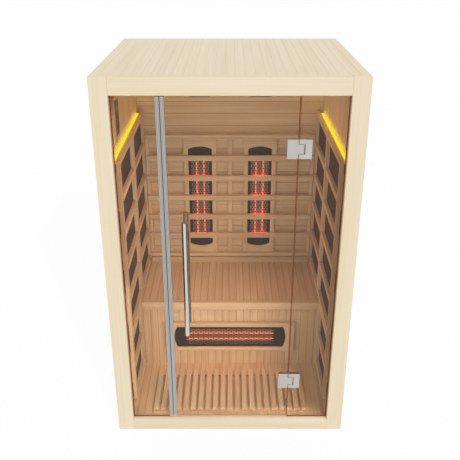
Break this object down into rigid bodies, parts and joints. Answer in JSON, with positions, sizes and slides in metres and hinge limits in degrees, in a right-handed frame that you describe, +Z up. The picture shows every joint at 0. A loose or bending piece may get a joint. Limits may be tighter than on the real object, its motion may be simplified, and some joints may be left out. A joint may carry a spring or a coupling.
{
  "type": "infrared sauna cabin",
  "caption": "Upright infrared sauna cabin of pale boards with a bronze glass front, a hinged glass door with bar handles, a slatted bench and backrest, grilles and glowing heaters.",
  "frame": {"origin": "centre of the cabin's footprint on the floor", "axes": "+X to the right seen from the door, +Y to the back, +Z up"},
  "size_m": [1.2, 1.1135, 1.9],
  "materials": {
    "pale_wood": "satin",
    "inner_wood": "satin",
    "bronze_glass": "gloss",
    "seal_rubber": "matte",
    "satin_aluminium": "satin",
    "hinge_steel": "satin",
    "handle_chrome": "polished",
    "guard_black": "satin",
    "reflector_aluminium": "satin",
    "quartz_tube": "gloss",
    "carbon_panel": "satin",
    "light_diffuser": "matte",
    "fascia_black": "gloss",
    "display_glass": "gloss",
    "key_plastic": "satin",
    "supply_steel": "satin",
    "gland_plastic": "matte"
  },
  "bodies": {
    "cabin": {"left_post": "pale_wood", "right_post": "pale_wood", "header": "pale_wood", "sill": "pale_wood", "left_wall": "pale_wood", "right_wall": "pale_wood", "back_wall": "pale_wood", "roof": "pale_wood", "floor_base": "pale_wood", "left_lining": "inner_wood", "right_lining": "inner_wood", "back_lining": "inner_wood", "ceiling": "inner_wood", "floor_boards": "inner_wood", "left_upper_grille": "inner_wood", "left_lower_grille": "inner_wood", "right_upper_grille": "inner_wood", "right_lower_grille": "inner_wood", "grille_cleats": "inner_wood", "bench_seat": "inner_wood", "bench_nosing": "inner_wood", "bench_front": "inner_wood", "bench_bearers": "inner_wood", "bench_skirting": "inner_wood", "backrest_bars": "inner_wood", "backrest_stiles": "inner_wood", "heater_frames": "inner_wood", "floor_mat_bearers": "inner_wood", "floor_mat_slats": "inner_wood", "control_plate": "inner_wood", "left_pane": "bronze_glass", "right_pane": "bronze_glass", "pane_seals": "seal_rubber", "pane_profile": "satin_aluminium", "hinge_pane_leaves": "hinge_steel", "hinge_pane_back_plates": "hinge_steel", "hinge_pane_screws": "hinge_steel", "hinge_pins": "hinge_steel", "heater_faces": "guard_black", "heater_reflectors": "reflector_aluminium", "heater_rods": "quartz_tube", "side_heater_panels": "carbon_panel", "corner_lights": "light_diffuser", "control_fascia": "fascia_black", "control_display": "display_glass", "power_unit": "supply_steel", "cable_gland": "gland_plastic"},
    "door": {"door_glass": "bronze_glass", "door_profile": "satin_aluminium", "door_magnet_strip": "seal_rubber", "outer_handle": "handle_chrome", "inner_handle": "handle_chrome", "handle_standoffs": "handle_chrome", "hinge_door_leaves": "hinge_steel", "hinge_door_back_plates": "hinge_steel", "hinge_door_screws": "hinge_steel"},
    "key_power": {"key_power": "key_plastic"},
    "key_light": {"key_light": "key_plastic"},
    "key_down": {"key_down": "key_plastic"},
    "key_up": {"key_up": "key_plastic"}
  },
  "joints": [
    {"name": "door_swing", "type": "hinge", "parent": "cabin", "child": "door", "pos_m": [0.32, -0.5, 0.944], "axis": [0, 0, 1], "range_deg": [0, 100]},
    {"name": "key_power_press", "type": "slide", "parent": "cabin", "child": "key_power", "axis": [-1, 0, 0], "range_m": [0, 0.0012], "stiffness_N_per_m": 800},
    {"name": "key_light_press", "type": "slide", "parent": "cabin", "child": "key_light", "axis": [-1, 0, 0], "range_m": [0, 0.0012], "stiffness_N_per_m": 800},
    {"name": "key_down_press", "type": "slide", "parent": "cabin", "child": "key_down", "axis": [-1, 0, 0], "range_m": [0, 0.0012], "stiffness_N_per_m": 800},
    {"name": "key_up_press", "type": "slide", "parent": "cabin", "child": "key_up", "axis": [-1, 0, 0], "range_m": [0, 0.0012], "stiffness_N_per_m": 800}
  ]
}
